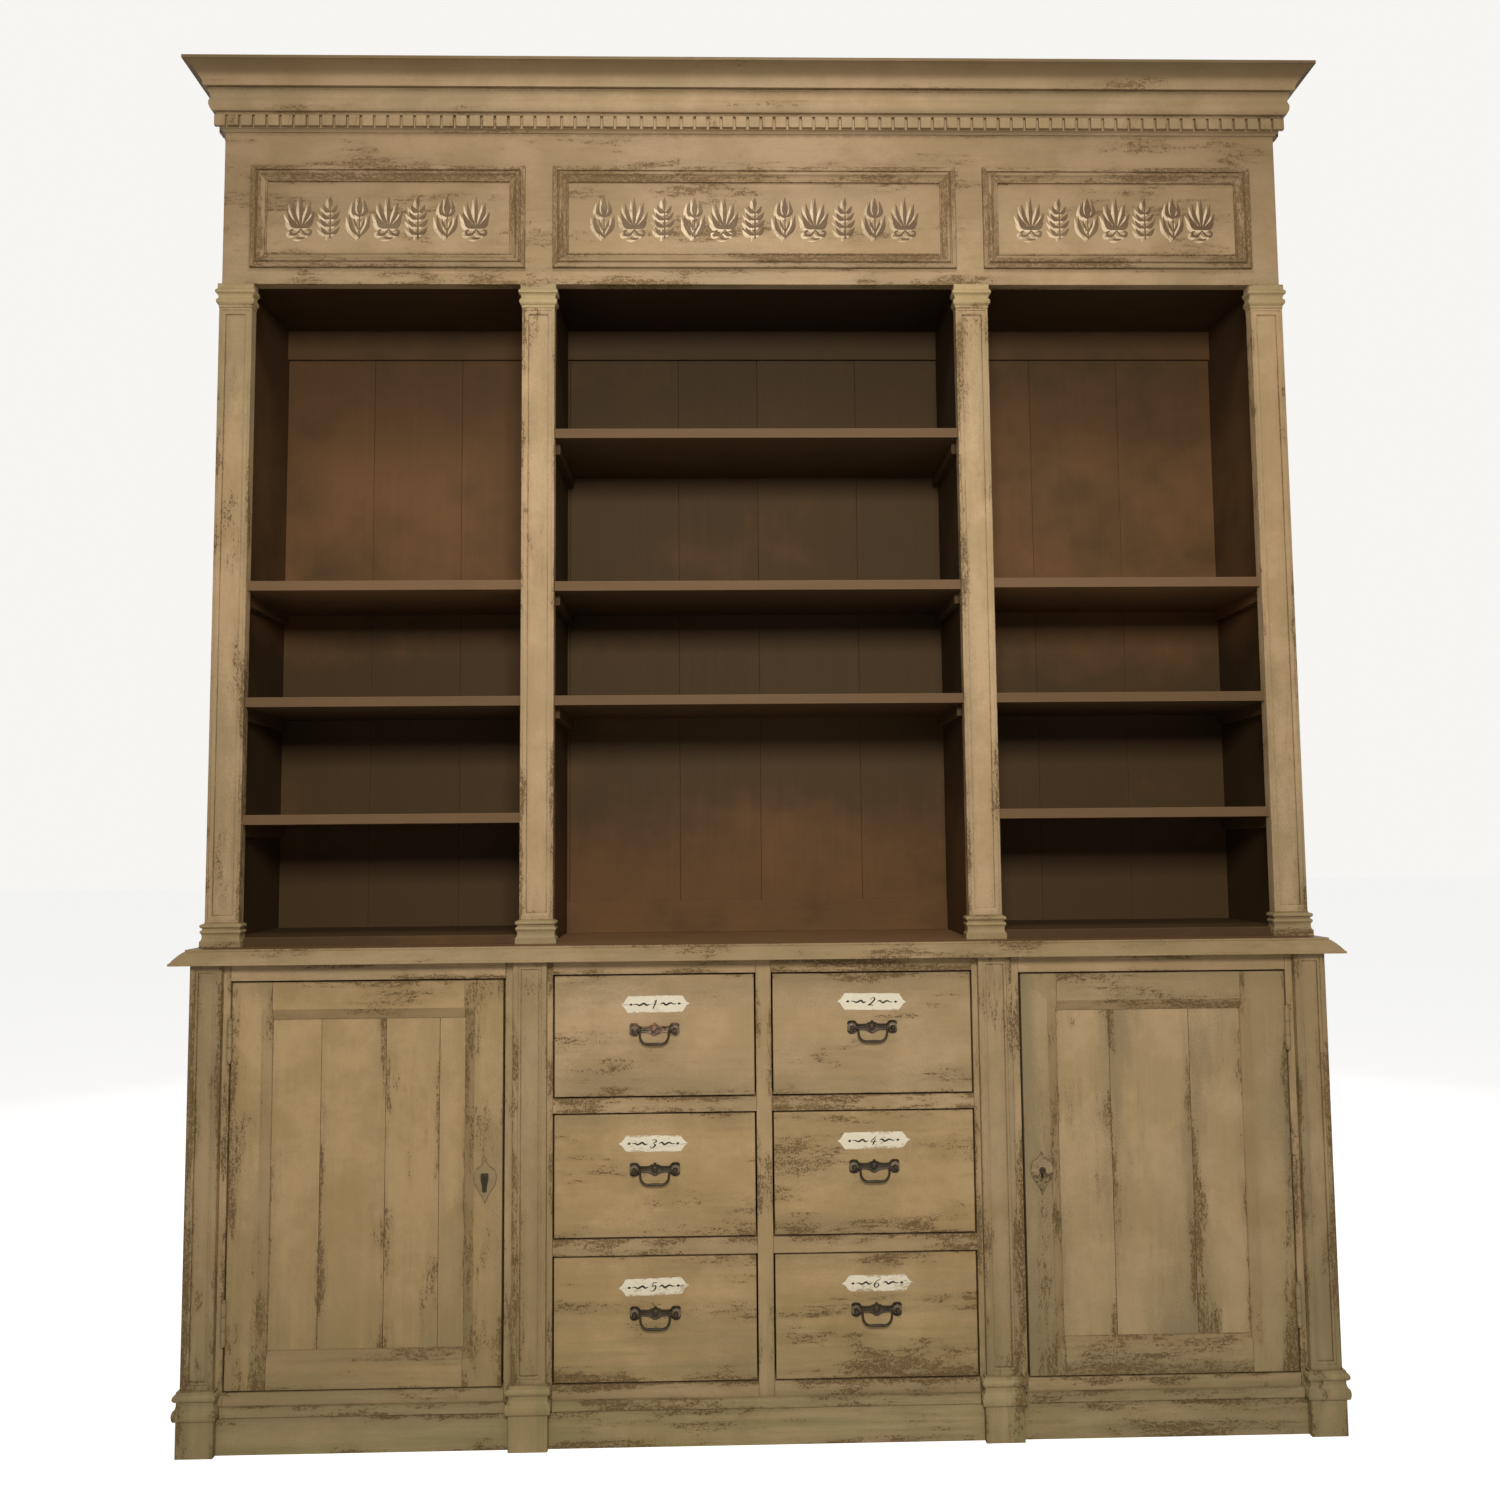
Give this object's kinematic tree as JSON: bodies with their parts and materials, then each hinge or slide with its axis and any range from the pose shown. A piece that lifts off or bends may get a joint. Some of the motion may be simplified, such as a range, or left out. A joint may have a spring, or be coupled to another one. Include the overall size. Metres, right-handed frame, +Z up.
{
  "type": "apothecary cabinet",
  "caption": "Two-part painted pharmacy cabinet: open shelved upper case in three bays with cornice and framed frieze, over a base of drawers between two cupboards.",
  "frame": {"origin": "on the floor, under the middle of the whole cabinet's bounding box", "axes": "+X to the right seen from the front, the front faces -Y, +Z up"},
  "size_m": [2.226, 0.368, 2.625],
  "materials": {
    "aged_paint": "aged khaki paint, rubbed through to brown at edges and mouldings",
    "brown_paint": "dark brown painted interior, worn matt",
    "bare_wood": "unpainted aged softwood",
    "painted_iron": "iron painted over with the case's paint",
    "dark_iron": "dark bronzed iron, rubbed"
  },
  "bodies": {
    "cabinet": {"base_sides": "aged_paint", "base_dividers": "brown_paint", "base_boards": "brown_paint", "base_back_boards": "brown_paint", "base_face_frame": "aged_paint", "drawer_runners": "bare_wood", "base_pilasters": "aged_paint", "pilaster_feet": "aged_paint", "plinth": "aged_paint", "worktop": "aged_paint", "frame_hinges": "painted_iron", "upper_sides": "aged_paint", "upper_dividers": "brown_paint", "bay_floors": "brown_paint", "bay_ceiling": "brown_paint", "upper_back_boards": "brown_paint", "upper_back_rails": "brown_paint", "bay_shelves": "brown_paint", "shelf_cleats": "brown_paint", "upper_pilasters": "aged_paint", "pilaster_mouldings": "aged_paint", "frieze": "aged_paint", "sign_frames": "aged_paint", "cornice": "aged_paint", "dust_board": "bare_wood", "dentils": "aged_paint"},
    "drawer_1": {"drawer_front_1": "aged_paint", "drawer_box_1": "bare_wood", "drawer_pull_1": "dark_iron"},
    "bail_1": {"drawer_bail_1": "dark_iron"},
    "drawer_2": {"drawer_front_2": "aged_paint", "drawer_box_2": "bare_wood", "drawer_pull_2": "dark_iron"},
    "bail_2": {"drawer_bail_2": "dark_iron"},
    "drawer_3": {"drawer_front_3": "aged_paint", "drawer_box_3": "bare_wood", "drawer_pull_3": "dark_iron"},
    "bail_3": {"drawer_bail_3": "dark_iron"},
    "drawer_4": {"drawer_front_4": "aged_paint", "drawer_box_4": "bare_wood", "drawer_pull_4": "dark_iron"},
    "bail_4": {"drawer_bail_4": "dark_iron"},
    "drawer_5": {"drawer_front_5": "aged_paint", "drawer_box_5": "bare_wood", "drawer_pull_5": "dark_iron"},
    "bail_5": {"drawer_bail_5": "dark_iron"},
    "drawer_6": {"drawer_front_6": "aged_paint", "drawer_box_6": "bare_wood", "drawer_pull_6": "dark_iron"},
    "bail_6": {"drawer_bail_6": "dark_iron"},
    "left_door": {"left_door_frame": "aged_paint", "left_door_panel": "aged_paint", "left_door_hinges": "painted_iron", "left_door_lock": "painted_iron"},
    "left_bolt": {"left_lock_bolt": "dark_iron"},
    "right_door": {"right_door_frame": "aged_paint", "right_door_panel": "aged_paint", "right_door_hinges": "painted_iron", "right_door_lock": "painted_iron"},
    "right_bolt": {"right_lock_bolt": "dark_iron"}
  },
  "joints": [
    {"name": "drawer_slide_1", "type": "slide", "parent": "cabinet", "child": "drawer_1", "axis": [0, -1, 0], "range_m": [0, 0.25]},
    {"name": "bail_swing_1", "type": "hinge", "parent": "drawer_1", "child": "bail_1", "pos_m": [-0.2026, -0.162, 0.7443], "axis": [-1, 0, 0], "range_deg": [0, 90]},
    {"name": "drawer_slide_2", "type": "slide", "parent": "cabinet", "child": "drawer_2", "axis": [0, -1, 0], "range_m": [0, 0.25]},
    {"name": "bail_swing_2", "type": "hinge", "parent": "drawer_2", "child": "bail_2", "pos_m": [0.2026, -0.162, 0.7443], "axis": [-1, 0, 0], "range_deg": [0, 90]},
    {"name": "drawer_slide_3", "type": "slide", "parent": "cabinet", "child": "drawer_3", "axis": [0, -1, 0], "range_m": [0, 0.25]},
    {"name": "bail_swing_3", "type": "hinge", "parent": "drawer_3", "child": "bail_3", "pos_m": [-0.2026, -0.162, 0.4903], "axis": [-1, 0, 0], "range_deg": [0, 90]},
    {"name": "drawer_slide_4", "type": "slide", "parent": "cabinet", "child": "drawer_4", "axis": [0, -1, 0], "range_m": [0, 0.25]},
    {"name": "bail_swing_4", "type": "hinge", "parent": "drawer_4", "child": "bail_4", "pos_m": [0.2026, -0.162, 0.4903], "axis": [-1, 0, 0], "range_deg": [0, 90]},
    {"name": "drawer_slide_5", "type": "slide", "parent": "cabinet", "child": "drawer_5", "axis": [0, -1, 0], "range_m": [0, 0.25]},
    {"name": "bail_swing_5", "type": "hinge", "parent": "drawer_5", "child": "bail_5", "pos_m": [-0.2026, -0.162, 0.2337], "axis": [-1, 0, 0], "range_deg": [0, 90]},
    {"name": "drawer_slide_6", "type": "slide", "parent": "cabinet", "child": "drawer_6", "axis": [0, -1, 0], "range_m": [0, 0.25]},
    {"name": "bail_swing_6", "type": "hinge", "parent": "drawer_6", "child": "bail_6", "pos_m": [0.2026, -0.162, 0.2337], "axis": [-1, 0, 0], "range_deg": [0, 90]},
    {"name": "left_door_hinge", "type": "hinge", "parent": "cabinet", "child": "left_door", "pos_m": [-0.983, -0.1558, 0.473], "axis": [0, 0, -1], "range_deg": [0, 110]},
    {"name": "left_bolt_throw", "type": "slide", "parent": "left_door", "child": "left_bolt", "axis": [1, 0, 0], "range_m": [0, 0.012]},
    {"name": "right_door_hinge", "type": "hinge", "parent": "cabinet", "child": "right_door", "pos_m": [0.983, -0.1558, 0.473], "axis": [0, 0, 1], "range_deg": [0, 110]},
    {"name": "right_bolt_throw", "type": "slide", "parent": "right_door", "child": "right_bolt", "axis": [-1, 0, 0], "range_m": [0, 0.012]}
  ]
}
